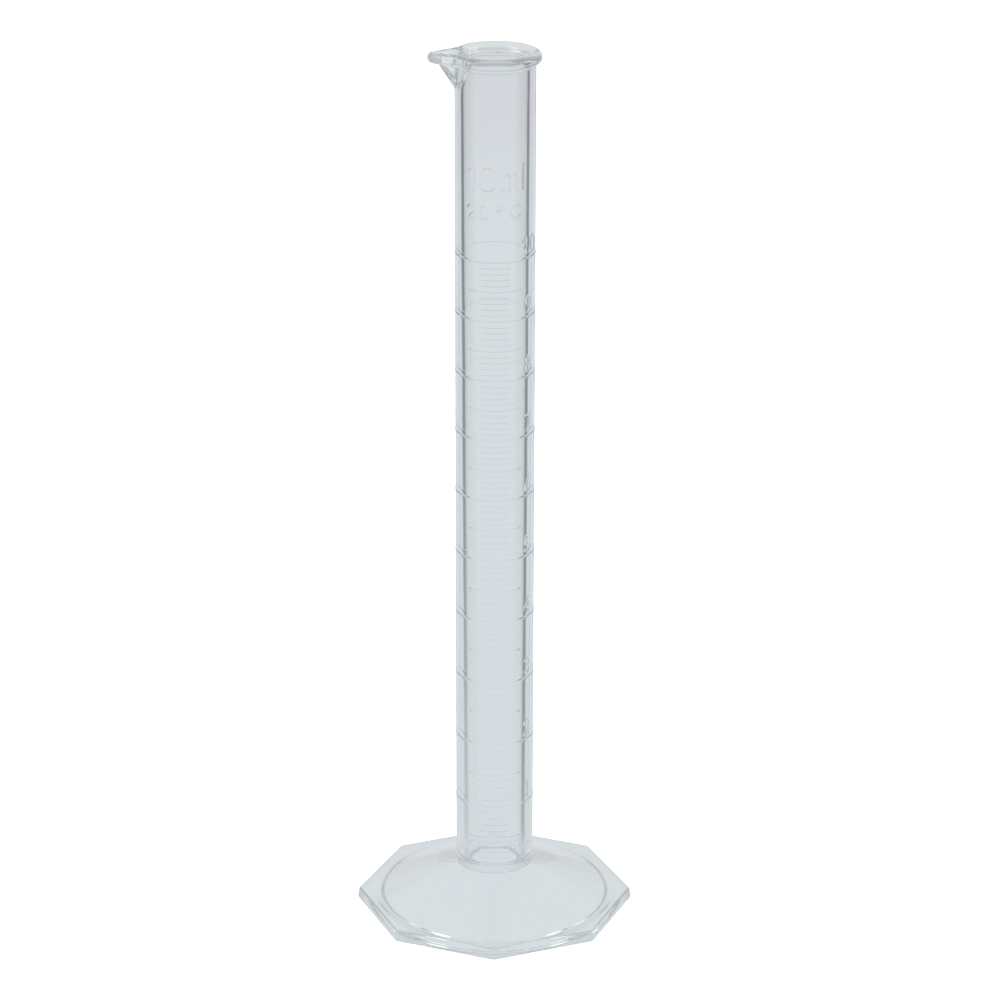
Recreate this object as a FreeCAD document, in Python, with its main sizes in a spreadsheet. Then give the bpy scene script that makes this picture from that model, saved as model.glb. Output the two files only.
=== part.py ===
"""Measuring cylinder, 10 ml by 0.1 ml, clear moulded plastic on an octagonal foot.

Frame: +Z up, origin on the barrel's axis in the plane that the foot stands on. The scale faces
-Y and the spout points along -X. Millimetres.
"""

import FreeCAD, Part
import math
import os

import Sketcher

# Driving dimensions, in millimetres, degrees or plain ratios.
DRIVING = {
    "total_height": 161.6,
    "barrel_radius": 7.08,
    "bore_floor_dia": 9.95,
    "bore_taper": 0.0083,
    "floor_height": 8.9,
    "floor_corner": 1.05,
    "barrel_base": 7.0,
    "rim_radius": 8.1,
    "bead_radius": 1.08,
    "mouth_edge_depth": 1.4,
    "foot_corner_reach": 25.45,
    "foot_edge_height": 2.0,
    "foot_edge_draft": 5.5,
    "flange_inner_radius": 20.8,
    "flange_height": 2.45,
    "collar_radius": 8.15,
    "collar_height": 7.6,
    "hollow_radius": 20.6,
    "hollow_edge_height": 0.8,
    "hollow_top_radius": 5.4,
    "spout_reach": 11.73,
    "spout_tip_radius": 1.37,
    "spout_root_half": 4.86,
    "lip_thickness": 2.0,
    "keel_reach": 10.2,
    "keel_tip_radius": 1.16,
    "keel_root_half": 4.2,
    "keel_foot_height": 155.0,
    "keel_foot_reach": 7.14,
    "keel_foot_tip_radius": 0.63,
    "keel_foot_half": 2.1,
    "channel_reach": 10.15,
    "channel_tip_radius": 0.75,
    "channel_root_half": 3.4,
    "channel_foot_height": 155.5,
    "channel_foot_reach": 5.56,
    "channel_foot_tip_radius": 0.42,
    "channel_foot_half": 1.05,
    "lip_root": 3.7,
    "mark_relief": 0.1,
    "mark_width": 0.26,
    "half_mark_sweep": 82.0,
    "fine_mark_sweep": 43.0,
    "numeral_height": 2.85,
    "numeral_stroke": 0.36,
    "numeral_gap": 0.9,
    "numeral_azimuth": 56.0,
    "capacity_height": 4.2,
    "capacity_stroke": 0.48,
    "capacity_base": 138.7,
    "temperature_height": 2.4,
    "temperature_stroke": 0.32,
    "temperature_base": 133.6,
}

CAPACITY_ML = 10
ML = 1000.0  # cubic millimetres in a millilitre
FULL_TURN = 360
HALF_TURN = FreeCAD.Placement(FreeCAD.Vector(), FreeCAD.Rotation(FreeCAD.Vector(0, 0, 1), 180))

# Strokes of each character in a cell one unit high, standing on zero: a line is two points, an
# arc is a centre, a radius and the angles it runs between, in degrees.
GLYPHS = {
    "0": (
        ("line", (0.0, 0.28), (0.0, 0.72)),
        ("line", (0.56, 0.28), (0.56, 0.72)),
        ("arc", (0.28, 0.72), 0.28, 0, 180),
        ("arc", (0.28, 0.28), 0.28, 180, 360),
    ),
    "1": (
        ("line", (0.3, 0.0), (0.3, 1.0)),
        ("line", (0.08, 0.8), (0.3, 1.0)),
    ),
    "2": (
        ("arc", (0.28, 0.72), 0.28, -35, 170),
        ("line", (0.51, 0.56), (0.0, 0.0)),
        ("line", (0.0, 0.0), (0.56, 0.0)),
    ),
    "3": (
        ("arc", (0.27, 0.75), 0.25, -90, 150),
        ("arc", (0.27, 0.25), 0.25, -150, 90),
    ),
    "4": (
        ("line", (0.42, 0.0), (0.42, 1.0)),
        ("line", (0.42, 1.0), (0.0, 0.3)),
        ("line", (0.0, 0.3), (0.58, 0.3)),
    ),
    "5": (
        ("line", (0.5, 1.0), (0.08, 1.0)),
        ("line", (0.08, 1.0), (0.04, 0.52)),
        ("arc", (0.26, 0.3), 0.3, -140, 135),
    ),
    "6": (
        ("arc", (0.28, 0.28), 0.28, 0, 360),
        ("line", (0.03, 0.4), (0.36, 1.0)),
    ),
    "7": (
        ("line", (0.0, 1.0), (0.56, 1.0)),
        ("line", (0.56, 1.0), (0.18, 0.0)),
    ),
    "8": (
        ("arc", (0.28, 0.77), 0.23, 0, 360),
        ("arc", (0.28, 0.27), 0.27, 0, 360),
    ),
    "9": (
        ("arc", (0.28, 0.72), 0.28, 0, 360),
        ("line", (0.53, 0.6), (0.2, 0.0)),
    ),
    "m": (
        ("line", (0.0, 0.0), (0.0, 0.7)),
        ("line", (0.34, 0.0), (0.34, 0.53)),
        ("line", (0.68, 0.0), (0.68, 0.53)),
        ("arc", (0.17, 0.53), 0.17, 0, 180),
        ("arc", (0.51, 0.53), 0.17, 0, 180),
    ),
    "l": (("line", (0.0, 0.0), (0.0, 1.0)),),
    "degree": (("arc", (0.16, 0.82), 0.16, 0, 360),),
    "C": (("arc", (0.4, 0.5), 0.48, 50, 310),),
}

# Characters of the two text rows with the azimuth of each, in degrees from -Y towards +X.
CAPACITY_TEXT = (("1", -38.0), ("0", -11.0), ("m", 22.0), ("l", 44.0))
TEMPERATURE_TEXT = (("2", -37.0), ("0", -17.0), ("degree", 5.0), ("C", 33.0))
TEN_SPREAD = 11.0  # degrees from the middle of the number 10 to each of its digits


def make_sheet(document):
    """Spreadsheet named size that holds the driving dimensions."""
    sheet = document.addObject("Spreadsheet::Sheet", "size")
    for row, (alias, number) in enumerate(DRIVING.items(), start=1):
        sheet.set(f"A{row}", alias)
        sheet.set(f"B{row}", str(number))
        sheet.setAlias(f"B{row}", alias)
    document.recompute()
    return sheet


doc = FreeCAD.newDocument("MeasuringCylinder")
size = make_sheet(doc)

# Formulas that several features share, written for the expression engine.
TOP = "size.total_height"
BEAD_CENTRE_R = "(size.rim_radius - size.bead_radius)"
BEAD_CENTRE_Z = f"({TOP} - size.bead_radius)"
BEAD_DROP = f"sqrt(size.bead_radius^2 - (size.barrel_radius - {BEAD_CENTRE_R})^2)"
RIM_BASE = f"({BEAD_CENTRE_Z} - {BEAD_DROP})"
MOUTH_EDGE = f"({TOP} - size.mouth_edge_depth)"


def value(formula):
    """Number that a formula over the sheet's cells comes to."""
    return float(size.evalExpression(formula.replace("size.", "")))


def bore_radius(height):
    """Formula for the bore's radius at a height, itself a formula."""
    growth = f"size.bore_taper * ({height} - size.floor_height)"
    return f"((size.bore_floor_dia + {growth}) / 2)"


def mark_height(millilitres):
    """Formula for the height to which a volume fills the tapered bore."""
    cone = f"12 * size.bore_taper * {millilitres * ML} / pi"
    diameter = f"pow(size.bore_floor_dia^3 + {cone}; 1/3)"
    return f"(size.floor_height + ({diameter} - size.bore_floor_dia) / size.bore_taper)"


def new_body(label, placement=None):
    """PartDesign body that becomes one node."""
    body = doc.addObject("PartDesign::Body", label)
    body.Label = label
    if placement is not None:
        body.Placement = placement
    return body


def new_sketch(body, name, role, height=None):
    """Sketch on one of the body's origin planes, lifted by a formula if one is given."""
    sketch = body.newObject("Sketcher::SketchObject", name)
    plane = next(item for item in body.Origin.OriginFeatures if item.Role == role)
    sketch.AttachmentSupport = [(plane, "")]
    sketch.MapMode = "FlatFace"
    if height is not None:
        sketch.setExpression("AttachmentOffset.Base.z", height)
    doc.recompute()
    return sketch


def bind(sketch, index, formula):
    """Tie a sketch constraint to a formula over the sheet."""
    sketch.setExpression(f"Constraints[{index}]", formula)


def pin_point(sketch, geometry, end, across, up):
    """Fix a point of the sketch at two formulas, with the axes for a zero."""
    places = (("DistanceX", -2, across), ("DistanceY", -1, up))
    for kind, axis, formula in places:
        if formula == "0":
            sketch.addConstraint(Sketcher.Constraint("PointOnObject", geometry, end, axis))
            continue
        distance = Sketcher.Constraint(kind, -1, 1, geometry, end, value(formula))
        bind(sketch, sketch.addConstraint(distance), formula)


def draw_corners(sketch, corners, closed=True):
    """Chain of straight lines through corners given as pairs of formulas."""
    points = [FreeCAD.Vector(value(across), value(up), 0) for across, up in corners]
    last = len(points) if closed else len(points) - 1
    lines = []
    for start in range(last):
        segment = Part.LineSegment(points[start], points[(start + 1) % len(points)])
        lines.append(sketch.addGeometry(segment))
    for line, following in zip(lines, lines[1:] + (lines[:1] if closed else [])):
        sketch.addConstraint(Sketcher.Constraint("Coincident", line, 2, following, 1))
    for line, (across, up) in zip(lines, corners):
        pin_point(sketch, line, 1, across, up)
    if not closed:
        pin_point(sketch, lines[-1], 2, *corners[-1])
    return lines


def draw_bead(sketch, corners):
    """Closed profile: corners from the bead's crest round to its root, then the bead's arc."""
    lines = draw_corners(sketch, corners, closed=False)
    centre = FreeCAD.Vector(value(BEAD_CENTRE_R), value(BEAD_CENTRE_Z), 0)
    circle = Part.Circle(centre, FreeCAD.Vector(0, 0, 1), size.bead_radius)
    root = -math.asin(value(BEAD_DROP) / size.bead_radius)
    arc = sketch.addGeometry(Part.ArcOfCircle(circle, root, math.pi / 2))
    sketch.addConstraint(Sketcher.Constraint("Coincident", arc, 1, lines[-1], 2))
    sketch.addConstraint(Sketcher.Constraint("Coincident", arc, 2, lines[0], 1))
    radius = sketch.addConstraint(Sketcher.Constraint("Radius", arc, size.bead_radius))
    bind(sketch, radius, "size.bead_radius")


def draw_lip(sketch, reach, tip_radius, root_half):
    """Outline of the spout in plan: a round tip and two straight sides back to the root."""
    tip = value(tip_radius)
    centre = FreeCAD.Vector(value(reach) - tip, 0, 0)
    root = value("size.lip_root")
    half = value(root_half)
    away = math.hypot(centre.x - root, half)
    angle = math.atan2(half, root - centre.x) - math.acos(tip / away)
    touch = centre + FreeCAD.Vector(math.cos(angle), math.sin(angle), 0) * tip
    circle = Part.Circle(centre, FreeCAD.Vector(0, 0, 1), tip)
    arc = sketch.addGeometry(Part.ArcOfCircle(circle, -angle, angle))
    upper = sketch.addGeometry(Part.LineSegment(touch, FreeCAD.Vector(root, half, 0)))
    back = sketch.addGeometry(
        Part.LineSegment(FreeCAD.Vector(root, half, 0), FreeCAD.Vector(root, -half, 0))
    )
    mirrored = FreeCAD.Vector(touch.x, -touch.y, 0)
    lower = sketch.addGeometry(Part.LineSegment(FreeCAD.Vector(root, -half, 0), mirrored))
    for constraint in (
        Sketcher.Constraint("Tangent", arc, 2, upper, 1),
        Sketcher.Constraint("Coincident", upper, 2, back, 1),
        Sketcher.Constraint("Coincident", back, 2, lower, 1),
        Sketcher.Constraint("Tangent", lower, 2, arc, 1),
        Sketcher.Constraint("Symmetric", back, 1, back, 2, -1),
    ):
        sketch.addConstraint(constraint)
    pin_point(sketch, arc, 3, f"{reach} - {tip_radius}", "0")
    pin_point(sketch, back, 1, "size.lip_root", root_half)
    radius = sketch.addConstraint(Sketcher.Constraint("Radius", arc, tip))
    bind(sketch, radius, tip_radius)


def revolve(body, kind, name, sketch, less=False):
    """Full turn of a profile about the body's vertical axis, and a check that it did its work."""
    before = body.Shape.Volume if body.Tip else 0.0
    feature = body.newObject(kind, name)
    feature.Profile = sketch
    feature.ReferenceAxis = (sketch, ["V_Axis"])
    feature.Angle = 360
    doc.recompute()
    changed = body.Shape.Volume - before
    if (changed < 0) != less or abs(changed) < 1e-6:
        raise RuntimeError(f"{name} changed the volume by {changed:.3f}")
    return feature


def loft(body, kind, name, lower, upper):
    """Straight loft between two sketches."""
    feature = body.newObject(kind, name)
    feature.Profile = lower
    feature.Sections = [(upper, [""])]
    feature.Ruled = True
    doc.recompute()
    return feature


def cut_channel(body):
    """Pouring channel: it opens the bore and the rim along the body's own +X."""
    before = body.Shape.Volume
    low = new_sketch(body, body.Label + "_channel_low", "XY_Plane", "size.channel_foot_height")
    draw_lip(
        low, "size.channel_foot_reach", "size.channel_foot_tip_radius", "size.channel_foot_half"
    )
    high = new_sketch(body, body.Label + "_channel_high", "XY_Plane", TOP)
    draw_lip(high, "size.channel_reach", "size.channel_tip_radius", "size.channel_root_half")
    doc.recompute()
    loft(body, "PartDesign::SubtractiveLoft", body.Label + "_channel", low, high)
    if body.Shape.Volume >= before:
        raise RuntimeError(f"the channel cut nothing from {body.Label}")


def make_foot():
    """Octagonal plate under a shallow cone, hollow below, with a seat for the barrel."""
    body = new_body("foot")
    outline = new_sketch(body, "foot_outline", "XY_Plane")
    draw_octagon(outline, "size.foot_corner_reach")
    plate = body.newObject("PartDesign::Pad", "foot_plate")
    plate.Profile = outline
    plate.setExpression("Length", "size.foot_edge_height")
    plate.setExpression("TaperAngle", "-size.foot_edge_draft")
    doc.recompute()

    flat_reach = "size.foot_corner_reach * cos(22.5)"
    flange_edge = f"({flat_reach} - size.foot_edge_height * tan(size.foot_edge_draft))"
    cone = new_sketch(body, "foot_cone", "XZ_Plane")
    draw_corners(
        cone,
        (
            ("size.hollow_top_radius", "size.hollow_edge_height"),
            (flange_edge, "size.hollow_edge_height"),
            (flange_edge, "size.foot_edge_height"),
            ("size.flange_inner_radius", "size.flange_height"),
            ("size.collar_radius", "size.collar_height"),
            ("size.barrel_radius", "size.floor_height"),
            ("size.barrel_radius", "size.barrel_base"),
            ("size.hollow_top_radius", "size.barrel_base"),
        ),
    )
    revolve(body, "PartDesign::Revolution", "foot_cone_turn", cone)

    hollow = new_sketch(body, "foot_hollow", "XZ_Plane")
    draw_corners(
        hollow,
        (
            ("0", "0"),
            ("size.hollow_radius", "0"),
            ("size.hollow_radius", "size.hollow_edge_height"),
            ("size.hollow_top_radius", "size.barrel_base"),
            ("0", "size.barrel_base"),
        ),
    )
    revolve(body, "PartDesign::Groove", "foot_hollow_turn", hollow, less=True)
    return body


def draw_octagon(sketch, corner_reach):
    """Regular octagon with a corner on the sketch's horizontal axis."""
    reach = value(corner_reach)
    corners = []
    for step in range(8):
        turn = math.radians(45 * step)
        corners.append(FreeCAD.Vector(reach * math.cos(turn), reach * math.sin(turn), 0))
    guide = sketch.addGeometry(
        Part.Circle(FreeCAD.Vector(), FreeCAD.Vector(0, 0, 1), reach), True
    )
    sketch.addConstraint(Sketcher.Constraint("Coincident", guide, 3, -1, 1))
    radius = sketch.addConstraint(Sketcher.Constraint("Radius", guide, reach))
    bind(sketch, radius, corner_reach)
    sides = []
    for step in range(8):
        side = Part.LineSegment(corners[step], corners[(step + 1) % 8])
        sides.append(sketch.addGeometry(side))
    for step, side in enumerate(sides):
        following = sides[(step + 1) % 8]
        sketch.addConstraint(Sketcher.Constraint("Coincident", side, 2, following, 1))
        if step:
            sketch.addConstraint(Sketcher.Constraint("Equal", sides[0], side))
            sketch.addConstraint(Sketcher.Constraint("PointOnObject", side, 1, guide))
    sketch.addConstraint(Sketcher.Constraint("PointOnObject", sides[0], 1, -1))


def make_barrel():
    """Tube with a closed floor; the bore widens upwards so that it leaves its core."""
    body = new_body("barrel", HALF_TURN)
    wall = new_sketch(body, "barrel_wall", "XZ_Plane")
    draw_corners(
        wall,
        (
            ("0", "size.barrel_base"),
            ("size.barrel_radius", "size.barrel_base"),
            ("size.barrel_radius", RIM_BASE),
            (bore_radius(RIM_BASE), RIM_BASE),
            ("size.bore_floor_dia / 2", "size.floor_height"),
            ("0", "size.floor_height"),
        ),
    )
    turned = revolve(body, "PartDesign::Revolution", "barrel_turn", wall)
    corner = body.newObject("PartDesign::Fillet", "floor_corner_fillet")
    corner.Base = (turned, [circle_at(turned, size.floor_height, size.bore_floor_dia / 2)])
    corner.setExpression("Radius", "size.floor_corner")
    doc.recompute()
    cut_channel(body)
    return body


def circle_at(feature, height, radius):
    """Name of the feature's circular edge at a height and radius."""
    for index, edge in enumerate(feature.Shape.Edges, start=1):
        curve = edge.Curve
        if isinstance(curve, Part.Circle):
            if abs(curve.Center.z - height) < 1e-3 and abs(curve.Radius - radius) < 1e-3:
                return f"Edge{index}"
    raise RuntimeError(f"no circle of radius {radius} at height {height}")


def make_rim():
    """Bead round the mouth, with a flare inside that leads down to the bore."""
    body = new_body("rim", HALF_TURN)
    bead = new_sketch(body, "rim_bead", "XZ_Plane")
    draw_bead(
        bead,
        (
            (BEAD_CENTRE_R, TOP),
            (bore_radius(MOUTH_EDGE), MOUTH_EDGE),
            (bore_radius(RIM_BASE), RIM_BASE),
            ("size.barrel_radius", RIM_BASE),
        ),
    )
    revolve(body, "PartDesign::Revolution", "rim_turn", bead)
    cut_channel(body)
    return body


def make_spout():
    """Lip and the keel under it, cut to meet the barrel and the rim, with the channel open."""
    body = new_body("spout", HALF_TURN)
    lip_base = f"({TOP} - size.lip_thickness)"
    low = new_sketch(body, "keel_low", "XY_Plane", "size.keel_foot_height")
    draw_lip(low, "size.keel_foot_reach", "size.keel_foot_tip_radius", "size.keel_foot_half")
    high = new_sketch(body, "keel_high", "XY_Plane", lip_base)
    draw_lip(high, "size.keel_reach", "size.keel_tip_radius", "size.keel_root_half")
    doc.recompute()
    loft(body, "PartDesign::AdditiveLoft", "keel", low, high)

    outline = new_sketch(body, "lip_outline", "XY_Plane", lip_base)
    draw_lip(outline, "size.spout_reach", "size.spout_tip_radius", "size.spout_root_half")
    lip = body.newObject("PartDesign::Pad", "lip_plate")
    lip.Profile = outline
    lip.setExpression("Length", "size.lip_thickness")
    doc.recompute()

    mouth = new_sketch(body, "mouth_envelope", "XZ_Plane")
    draw_bead(
        mouth,
        (
            (BEAD_CENTRE_R, TOP),
            ("0", TOP),
            ("0", "size.keel_foot_height"),
            ("size.barrel_radius", "size.keel_foot_height"),
            ("size.barrel_radius", RIM_BASE),
        ),
    )
    revolve(body, "PartDesign::Groove", "mouth_cut", mouth, less=True)
    cut_channel(body)
    return body


def make_marks(label, volumes, sweep):
    """Raised arcs on the barrel at the heights of the given volumes, centred on -Y."""
    blanks = []
    for index, millilitres in enumerate(volumes):
        blank = doc.addObject("Part::Cylinder", f"{label}_blank_{index}")
        blank.setExpression("Radius", "size.barrel_radius + size.mark_relief")
        blank.setExpression("Height", "size.mark_width")
        blank.setExpression("Angle", sweep)
        blank.setExpression(
            "Placement.Base.z", f"{mark_height(millilitres)} - size.mark_width / 2"
        )
        blank.Placement.Rotation = FreeCAD.Rotation(FreeCAD.Vector(0, 0, 1), -90 - value(sweep) / 2)
        blanks.append(blank)
    group = doc.addObject("Part::Compound", label + "_blanks")
    group.Links = blanks
    core = doc.addObject("Part::Cylinder", label + "_core")
    core.setExpression("Radius", "size.barrel_radius")
    core.setExpression("Height", TOP)
    marks = doc.addObject("Part::Cut", label)
    marks.Label = label
    marks.Base = group
    marks.Tool = core
    return marks


def on_circle(centre, radius, degrees):
    """Point of the XZ plane at an angle from +X round a centre."""
    turn = math.radians(degrees)
    return centre + FreeCAD.Vector(math.cos(turn), 0, math.sin(turn)) * radius


def arc_edge(centre, radius, first, last):
    """Arc in the XZ plane from one angle to another."""
    ends = [on_circle(centre, radius, turn) for turn in (first, (first + last) / 2, last)]
    return Part.Arc(*ends)


def line_outline(start, end, half):
    """Outline of a straight stroke with round ends."""
    along = end - start
    heading = math.degrees(math.atan2(along.z, along.x))
    left, right = heading + 90, heading - 90
    return (
        Part.LineSegment(on_circle(start, half, right), on_circle(end, half, right)),
        arc_edge(end, half, right, left),
        Part.LineSegment(on_circle(end, half, left), on_circle(start, half, left)),
        arc_edge(start, half, left, left + 180),
    )


def arc_outline(centre, radius, first, last, half):
    """Outline of a curved stroke with round ends."""
    return (
        arc_edge(centre, radius + half, first, last),
        arc_edge(on_circle(centre, radius, last), half, last, last + 180),
        arc_edge(centre, radius - half, last, first),
        arc_edge(on_circle(centre, radius, first), half, first + 180, first + 360),
    )


def stroke_solid(stroke, height, width, depth):
    """One stroke of a character as a plate that faces -Y."""
    half = width / 2
    if stroke[0] == "line":
        start, end = (FreeCAD.Vector(x * height, 0, z * height) for x, z in stroke[1:])
        wires = [line_outline(start, end, half)]
    else:
        (x, z), radius, first, last = stroke[1:]
        centre = FreeCAD.Vector(x * height, 0, z * height)
        radius *= height
        if last - first < FULL_TURN:
            wires = [arc_outline(centre, radius, first, last, half)]
        else:
            normal = FreeCAD.Vector(0, 1, 0)
            wires = [[Part.Circle(centre, normal, radius + side)] for side in (half, -half)]
    wires = [Part.Wire([curve.toShape() for curve in wire]) for wire in wires]
    face = Part.makeFace(wires, "Part::FaceMakerBullseye")
    return face.extrude(FreeCAD.Vector(0, depth, 0))


def glyph_width(character):
    """Width of a character's cell as a share of its height."""
    reach = 0.0
    for stroke in GLYPHS[character]:
        if stroke[0] == "line":
            reach = max(reach, stroke[1][0], stroke[2][0])
        else:
            reach = max(reach, stroke[1][0] + stroke[2])
    return reach


def raised_character(character, azimuth, base, height, width):
    """A character standing proud of the barrel by the marks' relief."""
    radius = size.barrel_radius
    depth = radius / 2
    solids = [stroke_solid(stroke, height, width, depth) for stroke in GLYPHS[character]]
    plate = solids[0].fuse(solids[1:]).removeSplitter() if len(solids) > 1 else solids[0]
    half = glyph_width(character) * height / 2
    plate.translate(FreeCAD.Vector(-half, -radius - depth / 2, base))
    plate.rotate(FreeCAD.Vector(), FreeCAD.Vector(0, 0, 1), azimuth)
    shell_base = FreeCAD.Vector(0, 0, base - height)
    outer = Part.makeCylinder(radius + size.mark_relief, 3 * height, shell_base)
    inner = Part.makeCylinder(radius, 3 * height, shell_base)
    return plate.common(outer.cut(inner))


def add_lettering(label, characters):
    """Node of raised characters, each given as character, azimuth, base, height and stroke."""
    solids = []
    for character in characters:
        solids.extend(raised_character(*character).Solids)
    node = doc.addObject("Part::Feature", label)
    node.Label = label
    node.Shape = Part.makeCompound(solids)
    node.Placement = FreeCAD.Placement()
    return node


def make_numerals():
    """Numbers 1 to 10, each standing just above its own ring."""
    characters = []
    for number in range(1, CAPACITY_ML + 1):
        base = value(mark_height(number)) + size.numeral_gap
        digits = str(number)
        for place, digit in enumerate(digits):
            spread = TEN_SPREAD * (2 * place - 1) if len(digits) == 2 else 0.0
            azimuth = size.numeral_azimuth + spread
            characters.append((digit, azimuth, base, size.numeral_height, size.numeral_stroke))
    return add_lettering("numerals", characters)


def make_text(label, text, base, height, stroke):
    """Row of characters at their own azimuths."""
    characters = [(letter, azimuth, base, height, stroke) for letter, azimuth in text]
    return add_lettering(label, characters)


def make_scale():
    """The graduation: a full ring at each millilitre, then half and tenth marks between."""
    tenths = range(1, 10 * CAPACITY_ML + 1)
    rings = [tenth / 10 for tenth in tenths if tenth % 10 == 0]
    halves = [tenth / 10 for tenth in tenths if tenth % 10 == 5]
    fine = [tenth / 10 for tenth in tenths if tenth % 5]
    return [
        make_marks("ring_marks", rings, "360"),
        make_marks("half_marks", halves, "size.half_mark_sweep"),
        make_marks("fine_marks", fine, "size.fine_mark_sweep"),
    ]


def check_document():
    """Stop on any object that failed to compute."""
    for item in doc.Objects:
        bad = [state for state in item.State if state in ("Invalid", "Error")]
        if bad:
            raise RuntimeError(f"{item.Label} is {bad}")


def export(nodes):
    """Write each node's shape to its own file."""
    for node in nodes:
        if node.Shape.isNull() or not node.Shape.isValid():
            raise RuntimeError(f"{node.Label} has no valid shape")
    os.makedirs("parts", exist_ok=True)
    for node in nodes:
        node.Shape.exportStep(os.path.join("parts", node.Label + ".step"))
        box = node.Shape.BoundBox
        print(
            f"{node.Label}: {len(node.Shape.Solids)} solids, {node.Shape.Volume:.2f} mm3,",
            f"z {box.ZMin:.2f} to {box.ZMax:.2f}",
        )


nodes = [make_foot(), make_barrel(), make_rim(), make_spout()]
nodes += make_scale()
nodes.append(make_numerals())
nodes.append(
    make_text(
        "capacity_text",
        CAPACITY_TEXT,
        size.capacity_base,
        size.capacity_height,
        size.capacity_stroke,
    )
)
nodes.append(
    make_text(
        "temperature_text",
        TEMPERATURE_TEXT,
        size.temperature_base,
        size.temperature_height,
        size.temperature_stroke,
    )
)
doc.recompute()
check_document()
export(nodes)
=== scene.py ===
import math

import bpy
import numpy as np
from mathutils import Matrix, Vector


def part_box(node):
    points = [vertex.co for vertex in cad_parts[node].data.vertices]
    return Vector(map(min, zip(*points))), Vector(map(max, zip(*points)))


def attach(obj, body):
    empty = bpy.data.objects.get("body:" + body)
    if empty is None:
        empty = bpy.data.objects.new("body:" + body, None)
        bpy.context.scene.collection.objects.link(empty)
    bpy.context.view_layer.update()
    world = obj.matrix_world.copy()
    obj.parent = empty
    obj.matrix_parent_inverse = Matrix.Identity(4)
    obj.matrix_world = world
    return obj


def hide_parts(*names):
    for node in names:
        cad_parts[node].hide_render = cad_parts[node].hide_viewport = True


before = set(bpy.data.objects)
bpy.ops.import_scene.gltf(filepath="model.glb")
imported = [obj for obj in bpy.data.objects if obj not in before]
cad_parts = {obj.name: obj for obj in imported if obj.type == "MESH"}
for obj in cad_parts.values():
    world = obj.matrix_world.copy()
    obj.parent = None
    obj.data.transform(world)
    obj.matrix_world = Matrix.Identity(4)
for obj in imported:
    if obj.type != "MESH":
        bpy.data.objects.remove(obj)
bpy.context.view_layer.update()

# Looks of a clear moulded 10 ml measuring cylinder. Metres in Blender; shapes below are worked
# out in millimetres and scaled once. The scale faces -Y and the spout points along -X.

MM = 0.001


def cad_mm(node):
    """Lowest and highest corner of a CAD node, in millimetres."""
    low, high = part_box(node)
    return low / MM, high / MM


def cad_levels(node):
    """Heights of the middles of a node's flat marks, in millimetres, lowest first."""
    heights = sorted({round(v.co.z / MM, 3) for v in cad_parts[node].data.vertices})
    return [(low + high) / 2 for low, high in zip(heights[::2], heights[1::2])]


# Sizes that the frame gives.
BARREL_RADIUS = cad_mm("barrel")[1].y
TOTAL_HEIGHT = cad_mm("rim")[1].z
RIM_RADIUS = cad_mm("rim")[1].y
SPOUT_REACH = -cad_mm("spout")[0].x
SPOUT_FOOT = cad_mm("spout")[0].z
FOOT_REACH = cad_mm("foot")[1].x
RINGS = cad_levels("ring_marks")
HALVES = cad_levels("half_marks")
TENTHS = cad_levels("fine_marks")

# The bore: the height of its floor, its diameter there, what the diameter gains per millimetre
# of height, and the radius of the floor's corner. The foot's hollow ends below that floor.
BORE_FLOOR = 8.9
BORE_DIAMETER = 9.95
BORE_TAPER = 0.0083
FLOOR_CORNER = 1.05
HOLLOW_TOP = 7.0

# Directions round the axis, as polar angles in degrees.
SCALE_DIRECTION = -90.0
SPOUT_DIRECTION = 180.0

# Raised marks: how proud they stand, half the width of their eased edges, their own width, and
# how far the arcs of each kind run to each side. Azimuths are in degrees from the middle of the
# scale towards the numerals.
RELIEF = 0.09
EDGE = 0.085
MARK_WIDTH = 0.26
RING_SWEEP = 999.0
HALF_SWEEP = 41.0
FINE_SWEEP = 21.5

# Share of the rings' relief that is lost towards the back, where that starts, and over how far.
BACK_FADE = 0.35
FADE_FROM = 65
FADE_OVER = 45

# Lettering: the azimuths of characters, then the height and stroke width of each text's
# characters. A number stands a gap above its ring, and the digits of 10 are spread to each side.
NUMERAL_AZIMUTH = 56.0
TEN_SPREAD = 11.0
CAPACITY_TEXT = (("1", -38.0), ("0", -11.0), ("m", 22.0), ("l", 44.0))
TEMPERATURE_TEXT = (("2", -37.0), ("0", -17.0), ("degree", 5.0), ("C", 33.0))
NUMERAL_SIZE = (2.85, 0.36)
NUMERAL_GAP = 0.9
CAPACITY_SIZE = (4.2, 0.48)
TEMPERATURE_SIZE = (2.4, 0.32)

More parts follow.
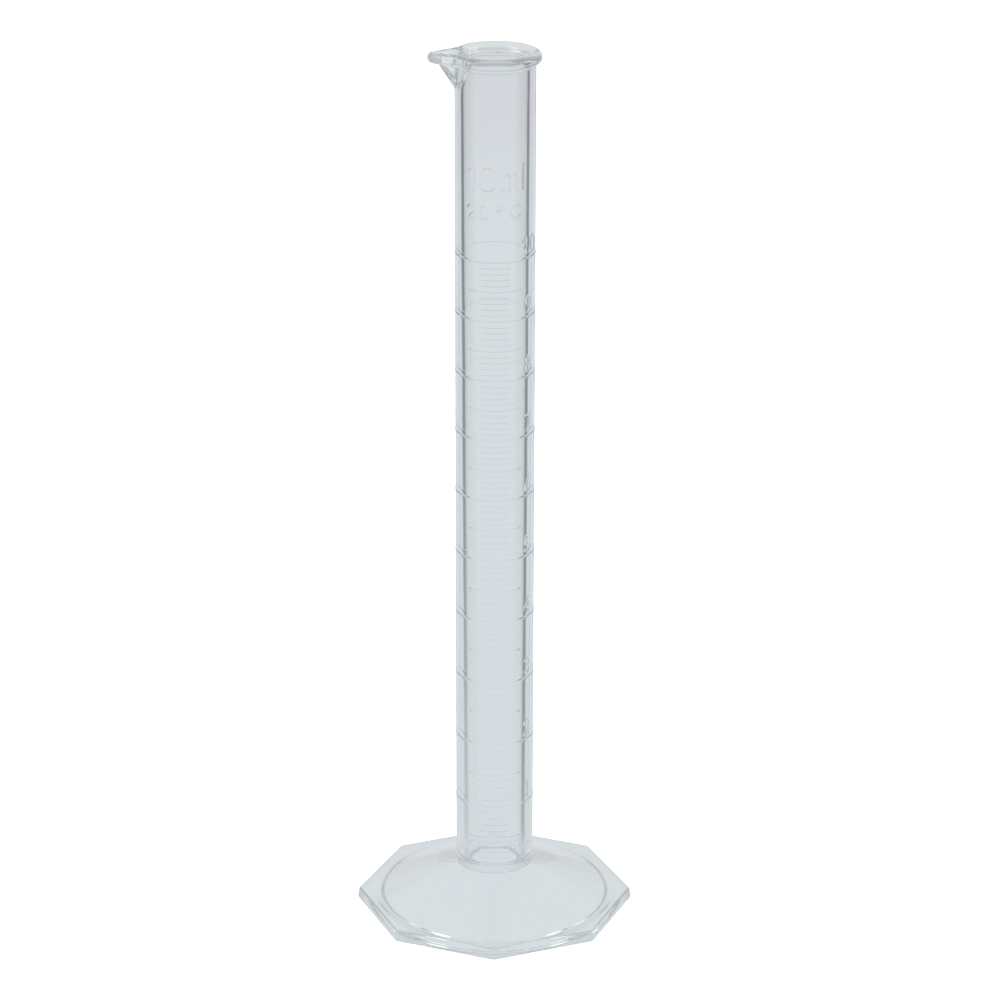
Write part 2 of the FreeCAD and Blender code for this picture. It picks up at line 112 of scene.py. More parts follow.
# Strokes of each character in a cell one unit high: a line is two points, an arc is a centre,
# a radius and the angles it runs between.
GLYPHS = {
    "0": (
        ("line", (0.0, 0.28), (0.0, 0.72)),
        ("line", (0.56, 0.28), (0.56, 0.72)),
        ("arc", (0.28, 0.72), 0.28, 0, 180),
        ("arc", (0.28, 0.28), 0.28, 180, 360),
    ),
    "1": (
        ("line", (0.3, 0.0), (0.3, 1.0)),
        ("line", (0.08, 0.8), (0.3, 1.0)),
    ),
    "2": (
        ("arc", (0.28, 0.72), 0.28, -35, 170),
        ("line", (0.51, 0.56), (0.0, 0.0)),
        ("line", (0.0, 0.0), (0.56, 0.0)),
    ),
    "3": (
        ("arc", (0.27, 0.75), 0.25, -90, 150),
        ("arc", (0.27, 0.25), 0.25, -150, 90),
    ),
    "4": (
        ("line", (0.42, 0.0), (0.42, 1.0)),
        ("line", (0.42, 1.0), (0.0, 0.3)),
        ("line", (0.0, 0.3), (0.58, 0.3)),
    ),
    "5": (
        ("line", (0.5, 1.0), (0.08, 1.0)),
        ("line", (0.08, 1.0), (0.04, 0.52)),
        ("arc", (0.26, 0.3), 0.3, -140, 135),
    ),
    "6": (
        ("arc", (0.28, 0.28), 0.28, 0, 360),
        ("line", (0.03, 0.4), (0.36, 1.0)),
    ),
    "7": (
        ("line", (0.0, 1.0), (0.56, 1.0)),
        ("line", (0.56, 1.0), (0.18, 0.0)),
    ),
    "8": (
        ("arc", (0.28, 0.77), 0.23, 0, 360),
        ("arc", (0.28, 0.27), 0.27, 0, 360),
    ),
    "9": (
        ("arc", (0.28, 0.72), 0.28, 0, 360),
        ("line", (0.53, 0.6), (0.2, 0.0)),
    ),
    "m": (
        ("line", (0.0, 0.0), (0.0, 0.7)),
        ("line", (0.34, 0.0), (0.34, 0.53)),
        ("line", (0.68, 0.0), (0.68, 0.53)),
        ("arc", (0.17, 0.53), 0.17, 0, 180),
        ("arc", (0.51, 0.53), 0.17, 0, 180),
    ),
    "l": (("line", (0.0, 0.0), (0.0, 1.0)),),
    "degree": (("arc", (0.16, 0.82), 0.16, 0, 360),),
    "C": (("arc", (0.4, 0.5), 0.48, 50, 310),),
}


def glyph_width(character):
    """Width of a character's cell as a share of its height."""
    reach = 0.0
    for stroke in GLYPHS[character]:
        if stroke[0] == "line":
            reach = max(reach, stroke[1][0], stroke[2][0])
        else:
            reach = max(reach, stroke[1][0] + stroke[2])
    return reach


def text_row(node, text, height, stroke):
    """Characters of a text row: name, azimuth, base height, size and stroke width."""
    base = cad_mm(node)[0].z + stroke / 2
    return [(letter, azimuth, base, height, stroke) for letter, azimuth in text]


def numeral_row():
    """Digits of the numbers 1 to 10, each number above its own ring."""
    characters = []
    for number, ring in enumerate(RINGS, start=1):
        digits = str(number)
        for place, digit in enumerate(digits):
            spread = TEN_SPREAD * (2 * place - 1) if len(digits) == 2 else 0.0
            azimuth = NUMERAL_AZIMUTH + spread
            characters.append((digit, azimuth, ring + NUMERAL_GAP, *NUMERAL_SIZE))
    return characters


LETTERING = (
    numeral_row()
    + text_row("capacity_text", CAPACITY_TEXT, *CAPACITY_SIZE)
    + text_row("temperature_text", TEMPERATURE_TEXT, *TEMPERATURE_SIZE)
)


def smooth(edge):
    """Smooth step of an array from 0 to 1."""
    edge = np.clip(edge, 0.0, 1.0)
    return edge * edge * (3 - 2 * edge)


def raised(distance, half):
    """Height share of a raised stroke at a distance from its middle line."""
    return smooth((half + EDGE - distance) / (2 * EDGE))


def stroke_distance(stroke, across, up, height):
    """Distance from points to a stroke's middle line."""
    if stroke[0] == "line":
        start, end = (np.array(point) * height for point in stroke[1:])
        run = end - start
        along = ((across - start[0]) * run[0] + (up - start[1]) * run[1]) / (run @ run)
        along = np.clip(along, 0, 1)
        return np.hypot(across - start[0] - along * run[0], up - start[1] - along * run[1])
    (x, z), radius, first, last = stroke[1:]
    centre_x, centre_z, radius = x * height, z * height, radius * height
    angle = np.degrees(np.arctan2(up - centre_z, across - centre_x))
    angle = (angle - first) % 360
    inside = angle <= last - first
    ring = np.abs(np.hypot(across - centre_x, up - centre_z) - radius)
    ends = []
    for turn in (math.radians(first), math.radians(last)):
        end_x = centre_x + radius * math.cos(turn)
        end_z = centre_z + radius * math.sin(turn)
        ends.append(np.hypot(across - end_x, up - end_z))
    return np.where(inside, ring, np.minimum(*ends))


def relief(azimuth, height):
    """How far the barrel's outside stands proud, at arrays of azimuth and height."""
    share = np.zeros_like(height)
    arc = np.radians(1.0) * BARREL_RADIUS
    for levels, sweep in ((RINGS, RING_SWEEP), (HALVES, HALF_SWEEP), (TENTHS, FINE_SWEEP)):
        levels = np.array(levels)
        nearest = np.abs(height[:, None] - levels[None, :]).min(1)
        end = raised((np.abs(azimuth) - sweep) * arc, 0.0)
        share = np.maximum(share, raised(nearest, MARK_WIDTH / 2) * end)
    share *= 1 - BACK_FADE * smooth((np.abs(azimuth) - FADE_FROM) / FADE_OVER)
    for letter, middle, base, size, stroke in LETTERING:
        half_width = glyph_width(letter) * size / 2
        across = (azimuth - middle) * arc + half_width
        up = height - base
        near = (np.abs(across - half_width) < size) & (np.abs(up) < 2 * size)
        for line in GLYPHS[letter]:
            away = stroke_distance(line, across[near], up[near], size)
            share[near] = np.maximum(share[near], raised(away, stroke / 2))
    return RELIEF * share


def mark_rows(levels):
    """Heights of mesh rows that shape each mark's edges and hold them crisp."""
    half = MARK_WIDTH / 2
    clear = 2.2 * EDGE
    offsets = (half + clear, half + EDGE, half, half - EDGE)
    return [level + sign * offset for level in levels for offset in offsets for sign in (-1, 1)]


def span(first, last, step):
    """Even values from first to last, no further apart than step."""
    count = max(1, math.ceil(abs(last - first) / step))
    return list(np.linspace(first, last, count + 1))


# Heights where the barrel's outside starts, above the foot's fillet, and ends, below the spout.
OUTSIDE_FROM = 9.6
OUTSIDE_TO = 154.1

# Mesh rows: their steps on plain wall and across characters, how close one may be to a mark's
# own rows and to the next row, and how many degrees they run on past an arc and a character.
ROW_STEP = 4.5
GLYPH_STEP = 0.145
MARK_ROOM = 0.04
LEAST_STEP = 0.02
PAST_ARC = 2.5
PAST_GLYPH = 2.0


def outside_rows(azimuth):
    """Heights of the mesh rows of the barrel's outside at one azimuth from the scale."""
    rows = span(OUTSIDE_FROM, OUTSIDE_TO, ROW_STEP)
    fixed = mark_rows(RINGS)
    if abs(azimuth) < HALF_SWEEP + PAST_ARC:
        fixed += mark_rows(HALVES)
    if abs(azimuth) < FINE_SWEEP + PAST_ARC:
        fixed += mark_rows(TENTHS)
    arc = math.radians(1.0) * BARREL_RADIUS
    for letter, middle, base, size, stroke in LETTERING:
        reach = (glyph_width(letter) * size / 2 + stroke) / arc + PAST_GLYPH
        if abs(azimuth - middle) < reach:
            rows += span(base - stroke, base + size + stroke, GLYPH_STEP)
    fixed = np.array(sorted(fixed))
    kept = [row for row in rows if np.abs(fixed - row).min() > MARK_ROOM]
    merged = sorted({round(float(row), 4) for row in kept + list(fixed)})
    rows = [merged[0]]
    for row in merged[1:]:
        if row - rows[-1] > LEAST_STEP:
            rows.append(row)
    rows[0], rows[-1] = OUTSIDE_FROM, OUTSIDE_TO
    return rows


# The foot's octagon: the turn from corner to corner, half of it, where a corner's easing starts
# on each side, the mesh columns that shape a corner, and the least turn between any others, all
# in degrees.
CORNER_TURN = 45
HALF_TURN = 22.5
EASED_FROM = 22.2
CORNER_COLUMNS = (-0.9, -0.3, 0.3, 0.9)
LEAST_TURN = 0.35


def columns():
    """Polar angles of the mesh columns, in degrees from 0 to 360, closer where detail is."""
    front = SCALE_DIRECTION % 360
    scale = np.arange(-51, 51.1, 1.5)
    numerals = np.arange(38, 74.1, 1.25)
    spout = [*np.arange(0, 9, 0.75), *np.arange(9, 60, 1.5)]
    angles = set(np.arange(0, 360, 3.0))
    angles |= {front + step for step in (*scale, *numerals)}
    for sweep in (HALF_SWEEP, FINE_SWEEP):
        angles |= {front + side * (sweep + step) for side in (-1, 1) for step in (-0.6, 0.6)}
    angles |= {SPOUT_DIRECTION + side * step for side in (-1, 1) for step in spout}
    for corner in range(0, 360, CORNER_TURN):
        angles |= {corner + step for step in CORNER_COLUMNS}
    at_corner = {round(step % CORNER_TURN, 3) for step in CORNER_COLUMNS}
    ordered = sorted({round(float(angle) % 360, 3) for angle in angles})
    kept = [ordered[0]]
    for angle in ordered[1:]:
        if angle - kept[-1] > LEAST_TURN or round(angle % CORNER_TURN, 3) in at_corner:
            kept.append(angle)
    return np.array(kept)


def octagon(angle):
    """Radius of an octagon of unit corner reach at polar angles in degrees, corners eased."""
    off = np.abs(angle % CORNER_TURN - HALF_TURN)
    flat = math.cos(math.radians(HALF_TURN))
    return flat / np.cos(np.radians(np.minimum(off, EASED_FROM)))


# How far the spout's sides cave in, as a share of how far it stands out.
PINCH = 0.16


def plan_radius(off, base, reach, tip):
    """Radius of a circle drawn out to a round tip, at angles from the tip in degrees."""
    centre = reach - tip
    if centre <= base - tip:
        return np.full_like(off, base)
    turn = math.acos((base - tip) / centre)
    touch = math.atan2(tip * math.sin(turn), centre + tip * math.cos(turn))
    angle = np.radians(off)
    along = np.clip((turn - angle) / (turn - touch), 0, 1)
    pinch = PINCH * (reach - base) * np.sin(np.pi * along) ** 2
    side = base / np.cos(np.clip(turn - angle, 0, None)) - pinch
    inner = np.clip(tip**2 - (centre * np.sin(angle)) ** 2, 0, None)
    round_tip = centre * np.cos(angle) + np.sqrt(inner)
    return np.where(angle >= turn, base, np.where(angle >= touch, side, round_tip))


def bore_radius(height):
    """Radius of the tapered bore at a height."""
    return (BORE_DIAMETER + BORE_TAPER * (height - BORE_FLOOR)) / 2


# The foot's two slopes, as height lost per millimetre of radius, each with a point on it: the
# roof of the hollow and the cone above.
ROOF_SLOPE, ROOF_POINT = 0.4, (7.0, 6.2)
CONE_SLOPE, CONE_POINT = 0.43, (20.2, 2.68)

# The fillet between cone and barrel: its radius, how far its middle is above the cone's line as
# a share of that, and the angles of its rows, from the cone to the barrel.
FILLET = 0.22
FILLET_LIFT = 0.66
FILLET_TURNS = (246.7, 230.0, 213.4, 196.7, 180.0)

# How much shorter the foot's corners reach at the top of their edge.
EDGE_DRAFT = 0.2


def roof_height(radius):
    """Height of the hollow's sloping roof."""
    return ROOF_POINT[1] - (radius - ROOF_POINT[0]) * ROOF_SLOPE


def cone_height(radius):
    """Height of the cone's straight part."""
    return CONE_POINT[1] + (CONE_POINT[0] - radius) * CONE_SLOPE


def foot_stations():
    """Rows of the foot from the middle of its underside out and up to the barrel.

    Each is a radius, a height, and the share of the octagon in the radius.
    """
    hollow = [(0.95, HOLLOW_TOP), (2.5, HOLLOW_TOP), (4.2, HOLLOW_TOP), (4.85, 6.98)]
    hollow += [(5.3, 6.88), (5.7, 6.73), (6.25, 6.5), ROOF_POINT]
    hollow += [(radius, roof_height(radius)) for radius in (9, 11.6, 14.8, 18, 19.7)]
    hollow += [(20.15, 0.91), (20.42, 0.76), (20.57, 0.53), (20.6, 0.32)]
    hollow += [(20.6, 0.15), (20.64, 0.04), (20.75, 0.0), (21.0, 0.0)]

    low, high = FOOT_REACH, FOOT_REACH - EDGE_DRAFT
    edge = [(low - 0.53, 0.0), (low - 0.14, 0.0), (low - 0.04, 0.04), (low, 0.14)]
    edge += [(low - 0.01, 0.32), (low - 0.1, 1.06), (high, 1.64), (high - 0.04, 1.83)]
    edge += [(high - 0.15, 1.96), (high - 0.32, 2.01), (high - 0.74, 2.03)]

    cone = [(21.5, 2.305), (21, 2.42), (20.5, 2.576), (20, 2.766), (19.5, 2.981)]
    cone += [(radius, cone_height(radius)) for radius in (18, 14.8, 11.6, 9.4, 8.2)]
    top = cone_height(BARREL_RADIUS) + FILLET_LIFT * FILLET
    for turn in np.radians(FILLET_TURNS):
        radius = BARREL_RADIUS + FILLET * (1 + math.cos(turn))
        cone.append((radius, top + FILLET * math.sin(turn)))

    rows = [(radius, height, 0.0) for radius, height in hollow]
    rows += [(radius, height, 1.0) for radius, height in edge]
    rows += [(22.9, 2.14, 0.4), (22.2, 2.2, 0.0)]
    rows += [(radius, height, 0.0) for radius, height in cone]
    return rows


# The rim's bead and the spout's lip: the radius of each, the height of the lip's middle, the
# radius of its tip on the inside, and the angles of their rows, from the outside over the top.
BEAD = 1.08
LIP = 1.0
LIP_MIDDLE = 160.38
LIP_TIP = 0.25
RIM_TURNS = (-68, -55, -40, -25, -10, 5, 20, 35, 50, 65, 80, 92, 106)

# The keel under the lip: how far it climbs in its middle and beside it, and how far it leans out.
KEEL_SHARES = (0.0, 0.04, 0.12, 0.28, 0.5, 0.75, 0.95, 1.0)
KEEL_CLIMB = 4.2
WALL_CLIMB = 4.1
KEEL_LEAN = 2.72

# The channel in the bore's wall: the height where it starts, its reach there, what the reach
# gains per millimetre of height, and the radius of its tip.
CHANNEL_FOOT = 155.4
CHANNEL_REACH = 5.6
CHANNEL_SLOPE = 0.75
CHANNEL_TIP = 0.55


def mouth_stations():
    """Rows from the barrel's outside below the spout, over the rim and down to the bore's floor.

    Each is the radius and height away from the spout, then the reach, tip radius and height in
    the middle of the spout.
    """
    rows = [(BARREL_RADIUS, height, BARREL_RADIUS, 0.95, height) for height in (154.5, 154.85)]
    for share in KEEL_SHARES:
        plain = SPOUT_FOOT + share * WALL_CLIMB
        keel = SPOUT_FOOT + share * KEEL_CLIMB
        reach = BARREL_RADIUS + 0.02 + share * KEEL_LEAN
        rows.append((BARREL_RADIUS, plain, reach, 0.8 + 0.37 * share, keel))
    rows.append((BARREL_RADIUS + 0.05, 159.34, 9.98, 1.2, 159.33))
    for turn in np.radians(RIM_TURNS):
        outward, upward = math.cos(turn), math.sin(turn)
        radius = RIM_RADIUS - BEAD + BEAD * outward
        height = TOTAL_HEIGHT - BEAD + BEAD * upward
        reach = SPOUT_REACH - LIP + LIP * outward
        tip = LIP_TIP + LIP * max(outward, 0)
        rows.append((radius, height, reach, tip, LIP_MIDDLE + LIP * upward))
    rows += [
        (6.42, 161.4, 10.1, 0.26, 161.22),
        (6.15, 161.16, 9.7, 0.3, 161.02),
        (5.93, 160.83, 9.45, 0.36, 160.78),
        (5.77, 160.48, 9.3, 0.42, 160.5),
        (5.68, 160.25, 9.2, 0.46, 160.3),
        (5.63, 160.14, 9.14, 0.48, 160.18),
    ]
    for height in (160.06, 159.85, 159.2, 158.4, 157.7, 157.0, 156.3, 155.8, 155.5):
        reach = CHANNEL_REACH + CHANNEL_SLOPE * (height - CHANNEL_FOOT)
        rows.append((bore_radius(height), height, reach, CHANNEL_TIP, height))
    for height in (155.3, 154.9, 154.4, *span(152, 12.7, ROW_STEP), 11.1, 10.4):
        radius = bore_radius(height)
        rows.append((radius, height, radius, CHANNEL_TIP, height))
    floor = bore_radius(BORE_FLOOR)
    for turn in np.radians(range(0, 91, 15)):
        radius = floor - FLOOR_CORNER + FLOOR_CORNER * math.cos(turn)
        height = BORE_FLOOR + FLOOR_CORNER - FLOOR_CORNER * math.sin(turn)
        rows.append((radius, height, radius, CHANNEL_TIP, height))
    rows += [(radius, BORE_FLOOR, radius, CHANNEL_TIP, BORE_FLOOR) for radius in (3.4, 2.3, 1.05)]
    return rows


def polar(radius, angle, height):
    """Points from radii, polar angles in degrees and heights."""
    turn = np.radians(angle)
    return np.stack([radius * np.cos(turn), radius * np.sin(turn), height], -1)


def zip_columns(left, right, faces):
    """Fill between two neighbouring columns of (height, vertex) rows that share both ends."""
    i = j = 0
    while i < len(left) - 1 or j < len(right) - 1:
        more_left, more_right = i < len(left) - 1, j < len(right) - 1
        if more_left and more_right and abs(left[i + 1][0] - right[j + 1][0]) < 1e-6:
            faces.append((left[i][1], right[j][1], right[j + 1][1], left[i + 1][1]))
            i, j = i + 1, j + 1
        elif more_left and (not more_right or left[i + 1][0] < right[j + 1][0]):
            faces.append((left[i][1], right[j][1], left[i + 1][1]))
            i += 1
        else:
            faces.append((left[i][1], right[j][1], right[j + 1][1]))
            j += 1


# Degrees to each side of the spout over which the rim's rows lean to the spout's heights.
LEAN_SPREAD = 52


def build_moulding():
    """Points and faces of the whole cylinder as one closed skin, in millimetres."""
    angles = columns()
    count = len(angles)
    points, faces = [np.array([[0.0, 0.0, HOLLOW_TOP]])], []
    total = 1

    def add_rows(rows):
        nonlocal total
        points.append(np.concatenate(rows))
        firsts = [total + count * index for index in range(len(rows))]
        total += count * len(rows)
        return firsts

    def join_rows(low, high):
        for column in range(count):
            other = (column + 1) % count
            faces.append((low + column, low + other, high + other, high + column))

    eight = octagon(angles)
    foot = []
    for radius, height, share in foot_stations():
        outline = radius * (1 - share + share * eight)
        foot.append(polar(outline, angles, np.full(count, height)))
    firsts = add_rows(foot)
    for column in range(count):
        faces.append((0, firsts[0] + (column + 1) % count, firsts[0] + column))
    for low, high in zip(firsts, firsts[1:]):
        join_rows(low, high)

    azimuths = (angles - SCALE_DIRECTION + 180) % 360 - 180
    outside = []
    for column in range(count):
        heights = np.array(outside_rows(azimuths[column]))
        stand = relief(np.full(len(heights), azimuths[column]), heights)
        points.append(polar(BARREL_RADIUS + stand, angles[column], heights))
        outside.append([(height, total + index) for index, height in enumerate(heights)])
        total += len(heights)
    for column in range(count):
        zip_columns(outside[column], outside[(column + 1) % count], faces)
    for column in range(count):
        other = (column + 1) % count
        low, high = firsts[-1] + column, firsts[-1] + other
        faces.append((low, high, outside[other][0][1], outside[column][0][1]))

    off = np.abs((angles - SPOUT_DIRECTION + 180) % 360 - 180)
    lean = smooth(1 - off / LEAN_SPREAD)
    mouth = []
    for radius, height, reach, tip, drop in mouth_stations():
        outline = plan_radius(off, radius, reach, tip)
        mouth.append(polar(outline, angles, height + lean * (drop - height)))
    tops = add_rows(mouth)
    for column in range(count):
        other = (column + 1) % count
        low, high = outside[column][-1][1], outside[other][-1][1]
        faces.append((low, high, tops[0] + other, tops[0] + column))
    for low, high in zip(tops, tops[1:]):
        join_rows(low, high)
    points.append(np.array([[0.0, 0.0, BORE_FLOOR]]))
    for column in range(count):
        faces.append((total, tops[-1] + column, tops[-1] + (column + 1) % count))
    return np.concatenate(points), faces


def weighted_normals(points, faces):
    """Normal of each point, in which large faces count for more than small ones."""
    triangles = [(f[0], f[i], f[i + 1]) for f in faces for i in range(1, len(f) - 1)]
    triangles = np.array(triangles)
    corner, second, third = (points[triangles[:, i]] for i in range(3))
    across = np.cross(second - corner, third - corner)
    normals = np.zeros_like(points)
    for i in range(3):
        np.add.at(normals, triangles[:, i], across)
    return normals / np.linalg.norm(normals, axis=1, keepdims=True)


def make_moulding():
    """Mesh object of the cylinder."""
    points, faces = build_moulding()
    mesh = bpy.data.meshes.new("cylinder_moulding")
    mesh.from_pydata((points * MM).tolist(), [], faces)
    mesh.validate()
    mesh.shade_smooth()
    mesh.normals_split_custom_set_from_vertices(weighted_normals(points, faces).tolist())
    piece = bpy.data.objects.new("cylinder_moulding", mesh)
    bpy.context.scene.collection.objects.link(piece)
    return piece


# The plastic: its tint, its refractive index, how much of the light is lost to haze in a metre of
# it, and the colour of a glow painted into it by emission, which stands in for light that the
# haze would scatter back.
TINT = (0.97, 0.985, 0.99, 1)
REFRACTION = 1.57
HAZE = 60.0
PAINTED_HAZE_GLOW = (0.63, 0.68, 0.71, 1)

# The wall's ripple, drawn out along the barrel, and the range of roughness that wear leaves.
RIPPLE_SCALE = (260, 260, 35)
RIPPLE_STRENGTH = 0.03
RIPPLE_DEPTH = 0.0005
WEAR_SCALE = 180.0
POLISH = {"From Min": 0.35, "From Max": 0.7, "To Min": 0.012, "To Max": 0.04}


def add_node(nodes, kind, values):
    """New shader node with the given input values."""
    node = nodes.new(kind)
    for name, value in values.items():
        node.inputs[name].default_value = value
    return node


def clear_plastic():
    """Clear moulded plastic with a faint cool tint, a mould's ripple, wear, and inner haze that
    dims the light and adds a painted glow.
    """
    material = bpy.data.materials.new("clear_plastic")
    material.use_nodes = True
    nodes, links = material.node_tree.nodes, material.node_tree.links
    shader = nodes["Principled BSDF"]
    shader.inputs["Base Color"].default_value = TINT
    shader.inputs["Transmission Weight"].default_value = 1.0
    shader.inputs["IOR"].default_value = REFRACTION

    place = nodes.new("ShaderNodeTexCoord")
    stretch = add_node(nodes, "ShaderNodeMapping", {"Scale": RIPPLE_SCALE})
    ripple = add_node(nodes, "ShaderNodeTexNoise", {"Scale": 1.0, "Detail": 2.0})
    wave = {"Strength": RIPPLE_STRENGTH, "Distance": RIPPLE_DEPTH}
    bump = add_node(nodes, "ShaderNodeBump", wave)
    links.new(place.outputs["Object"], stretch.inputs["Vector"])
    links.new(stretch.outputs["Vector"], ripple.inputs["Vector"])
    links.new(ripple.outputs["Fac"], bump.inputs["Height"])
    links.new(bump.outputs["Normal"], shader.inputs["Normal"])

    wear = add_node(nodes, "ShaderNodeTexNoise", {"Scale": WEAR_SCALE, "Detail": 4.0})
    polish = add_node(nodes, "ShaderNodeMapRange", POLISH)
    links.new(place.outputs["Object"], wear.inputs["Vector"])
    links.new(wear.outputs["Fac"], polish.inputs["Value"])
    links.new(polish.outputs["Result"], shader.inputs["Roughness"])

    loss = {"Color": (0, 0, 0, 1), "Density": HAZE}
    haze = add_node(nodes, "ShaderNodeVolumeAbsorption", loss)
    # Painted glow: an emission in the plastic's volume that stands in for light scattered by the
    # haze.
    painted_glow = add_node(nodes, "ShaderNodeEmission", {"Color": PAINTED_HAZE_GLOW, "Strength": HAZE})
    both = nodes.new("ShaderNodeAddShader")
    links.new(haze.outputs["Volume"], both.inputs[0])
    links.new(painted_glow.outputs["Emission"], both.inputs[1])
    links.new(both.outputs["Shader"], nodes["Material Output"].inputs["Volume"])
    return material


# The studio, in metres: the cylinder's middle, the two soft boxes with their size and power, and
# the tent with its radius and colour.
MIDDLE = Vector((0, 0, 0.08))
BOXES = {"left_box": Vector((-0.8, -0.3, 0.7)), "right_box": Vector((0.8, -0.1, 0.6))}
BOX_SIZE = 0.5
BOX_POWER = 9
TENT_RADIUS = 1.2
TENT = Vector((0.739, 0.765, 0.786))

# What the tent's colour loses, each with the band of distances where that comes or goes: far
# away, out towards its wall, and on its floor close to the foot, where the loss is painted shade
# round the cylinder. A band is where it begins, or ends in the last case, and its width. High up,
# over the band of lifts, the losses go again.
FAR_LOSS, FAR_BAND = 0.14, (0.6, 0.25)
WALL_LOSS, WALL_BAND = Vector((0.04, 0.062, 0.056)), (0.4, 0.2)
NEAR_PAINTED_SHADE, NEAR_BAND = Vector((0.028, 0.014, 0.017)), (0.2, 0.15)
LIFT_BAND = (8, 20)

# Painted shade on the tent's two sides behind the cylinder: how dark each side is at most, and
# how far from the axis it gets that dark.
LEFT_PAINTED_SHADE = (0.85, 0.1)
RIGHT_PAINTED_SHADE = (0.8, 0.035)

# The side where the painted shade starts, with what is added close to the axis and over how far,
# and what is taken off high up and over how much lift. Then the bands of the start's softness, of
# the shade's end, and of distances where the shade on the floor begins, just past the foot.
DARK_FROM = 42
ADDED_NEAR = (14, 0.15)
TAKEN_HIGH = (25, 25)
DARK_SOFTNESS = 8
DARK_END = (105, 20)
PAST_FOOT = (0.022, 0.014)

# Painted highlights: how bright the soft boxes are painted into the tent's wall, in place of the
# lamps that the plastic doesn't see, and how wide with how soft an edge, in degrees seen from the
# middle.
PAINTED_BOX_HIGHLIGHT = 1.8
BOX_SPREAD = (17, 6)


def rise(value, start, width):
    """Smooth step from 0 at the start to 1 a width later."""
    return float(smooth((value - start) / width))


def fall(value, end, width):
    """Smooth step from 1 a width before the end to 0 at the end."""
    return float(smooth((end - value) / width))


def glow(point):
    """Light that the tent gives from a point on it, as a colour.

    Distances are in metres. Sides are in degrees from straight behind the cylinder, and lifts in
    degrees above its middle.
    """
    x, y, z = point
    side = abs(math.degrees(math.atan2(x, y)))
    away = math.hypot(x, y)
    lift = math.degrees(math.atan2(z - MIDDLE.z, away))
    low = 1 - rise(lift, *LIFT_BAND)
    far = rise(Vector(point).length, *FAR_BAND) * low
    wall = rise(away, *WALL_BAND) * low
    near = fall(away, *NEAR_BAND)
    colour = TENT * (1 - FAR_LOSS * far) - WALL_LOSS * wall
    # Painted shade: the tent's floor is made darker close to the foot.
    colour -= NEAR_PAINTED_SHADE * near

    # Painted shade on both sides of the tent behind the cylinder, which the plastic shows as dark
    # lines at the bore's edges.
    added, stretch = ADDED_NEAR
    taken, climb = TAKEN_HIGH
    start = DARK_FROM + added * math.exp(-away / stretch) - taken * rise(lift, 0, climb)
    side_shade = rise(side, start, DARK_SOFTNESS) * fall(side, *DARK_END) * low
    depth, reach = LEFT_PAINTED_SHADE if x < 0 else RIGHT_PAINTED_SHADE
    past_foot = rise(away, *PAST_FOOT)
    colour *= 1 - side_shade * depth * past_foot * (1 - math.exp(-away / reach))

    # Painted highlights: bright patches in the tent where the soft boxes stand, which the plastic
    # shows instead of the lamps.
    for box in BOXES.values():
        turn = math.degrees((Vector(point) - MIDDLE).angle(box - MIDDLE))
        colour += Vector((1, 1, 1)) * PAINTED_BOX_HIGHLIGHT * fall(turn, *BOX_SPREAD)
    return colour


def make_tent():
    """Pale tent round the cylinder that its plastic shows, but the camera doesn't see.

    It is a flat floor, whose rings are closer near the foot, under a round dome.
    """
    turns = np.radians(np.arange(0, 360, 2.0))
    radii = [0.001, *np.arange(0.02, 0.04, 0.003), *np.geomspace(0.045, 1.1, 24)]
    ground = -0.0001
    rings = [(radius, ground) for radius in radii]
    for lift in np.radians(range(0, 90, 4)):
        rings.append((TENT_RADIUS * math.cos(lift), TENT_RADIUS * math.sin(lift)))
    points, faces = [], []
    count = len(turns)
    for radius, height in rings:
        points += [(radius * math.cos(turn), radius * math.sin(turn), height) for turn in turns]
    for row in range(len(rings) - 1):
        for column in range(count):
            other = (column + 1) % count
            low, high = row * count, (row + 1) * count
            faces.append((low + column, low + other, high + other, high + column))
    faces.append(tuple(range(count)))
    faces.append(tuple(range(len(points) - count, len(points))))
    mesh = bpy.data.meshes.new("tent")
    mesh.from_pydata(points, [], faces)
    paint = mesh.color_attributes.new("glow", "FLOAT_COLOR", "POINT")
    for point, cell in zip(points, paint.data):
        cell.color = (*glow(point), 1)
    material = bpy.data.materials.new("tent")
    material.use_nodes = True
    nodes, links = material.node_tree.nodes, material.node_tree.links
    nodes.remove(nodes["Principled BSDF"])
    light = nodes.new("ShaderNodeEmission")
    colour = nodes.new("ShaderNodeAttribute")
    colour.attribute_name = "glow"
    links.new(colour.outputs["Color"], light.inputs["Color"])
    links.new(light.outputs["Emission"], nodes["Material Output"].inputs["Surface"])
    mesh.materials.append(material)
    tent = bpy.data.objects.new("tent", mesh)
    bpy.context.scene.collection.objects.link(tent)
    tent.visible_camera = False
    tent.visible_diffuse = False
    tent.visible_shadow = False


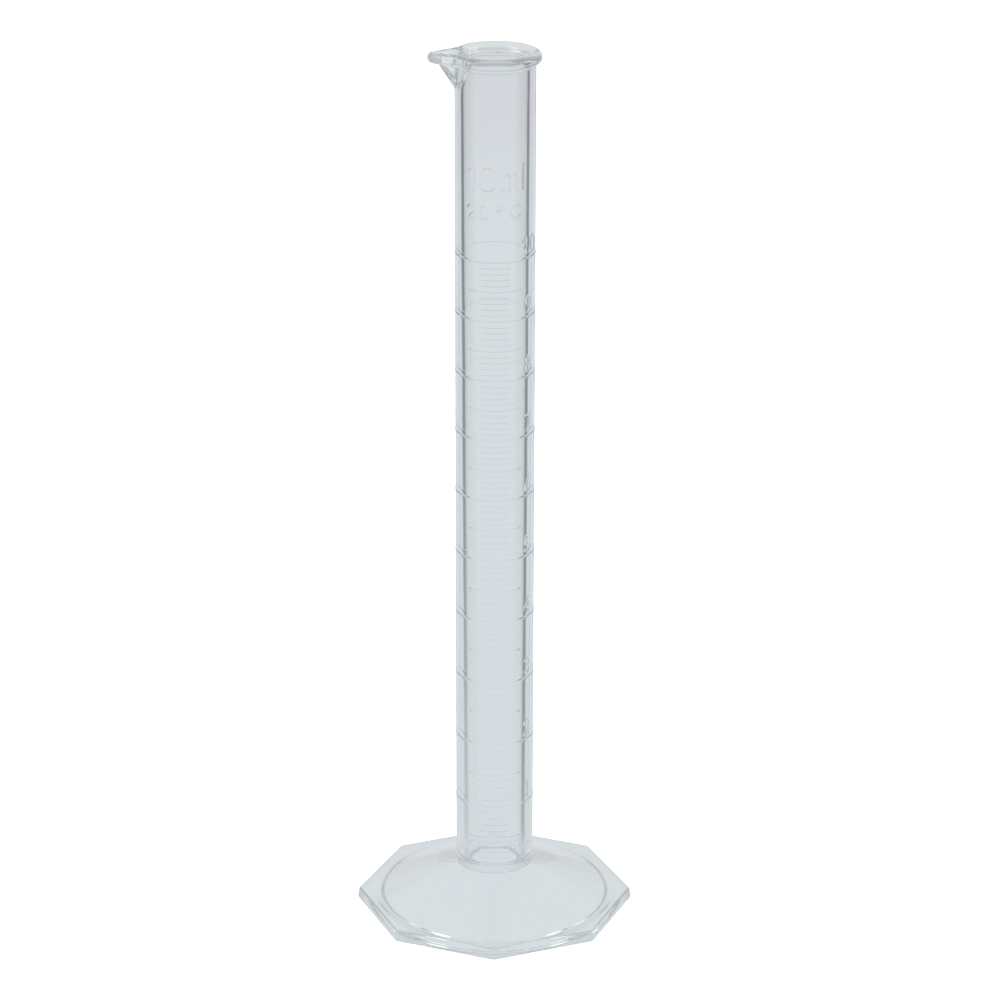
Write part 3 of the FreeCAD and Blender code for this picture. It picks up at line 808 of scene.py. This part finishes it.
def white_paper():
    """Matt paper of the floor."""
    material = bpy.data.materials.new("paper")
    material.use_nodes = True
    shader = material.node_tree.nodes["Principled BSDF"]
    shader.inputs["Base Color"].default_value = (0.93, 0.93, 0.93, 1)
    shader.inputs["Roughness"].default_value = 0.9
    shader.inputs["Specular IOR Level"].default_value = 0.0
    return material


def make_floor():
    """Plain white floor just under the foot, which the plastic doesn't show."""
    half = 3.0
    low = -0.00005
    mesh = bpy.data.meshes.new("floor")
    corners = [(-half, -half, low), (half, -half, low), (half, half, low), (-half, half, low)]
    mesh.from_pydata(corners, [], [(0, 1, 2, 3)])
    floor = bpy.data.objects.new("floor", mesh)
    mesh.materials.append(white_paper())
    bpy.context.scene.collection.objects.link(floor)
    floor.visible_transmission = False
    floor.visible_glossy = False
    floor.visible_shadow = False


def make_light():
    """White surround, and square soft boxes at the left and right that face the cylinder."""
    world = bpy.data.worlds.new("studio")
    bpy.context.scene.world = world
    world.use_nodes = True
    world.node_tree.nodes["Background"].inputs["Color"].default_value = (1, 1, 1, 1)
    world.node_tree.nodes["Background"].inputs["Strength"].default_value = 1.0
    for name, place in BOXES.items():
        lamp = bpy.data.lights.new(name, "AREA")
        lamp.size = BOX_SIZE
        lamp.energy = BOX_POWER
        holder = bpy.data.objects.new(name, lamp)
        holder.visible_glossy = False
        holder.visible_transmission = False
        holder.location = place
        holder.rotation_euler = (MIDDLE - place).to_track_quat("-Z", "Y").to_euler()
        bpy.context.scene.collection.objects.link(holder)


def make_camera():
    """Camera at the photograph's distance, height, tilt and focal length."""
    distance, height, aside = 0.6368, 0.31905, 0.00092
    tilt_down, roll = 20.646, 0.101
    film_width, focal_length = 36, 136.56
    data = bpy.data.cameras.new("camera")
    data.sensor_width = film_width
    data.lens = focal_length
    camera = bpy.data.objects.new("camera", data)
    tilt = Matrix.Rotation(math.radians(90 - tilt_down), 4, "X")
    turn = Matrix.Rotation(math.radians(roll), 4, "Z")
    camera.matrix_world = Matrix.Translation((aside, -distance, height)) @ tilt @ turn
    bpy.context.scene.collection.objects.link(camera)
    bpy.context.scene.camera = camera


make_camera()
make_light()
make_tent()
make_floor()
moulding = make_moulding()
moulding.data.materials.append(clear_plastic())
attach(moulding, "root")
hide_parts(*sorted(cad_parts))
bpy.context.scene.view_settings.view_transform = "Standard"
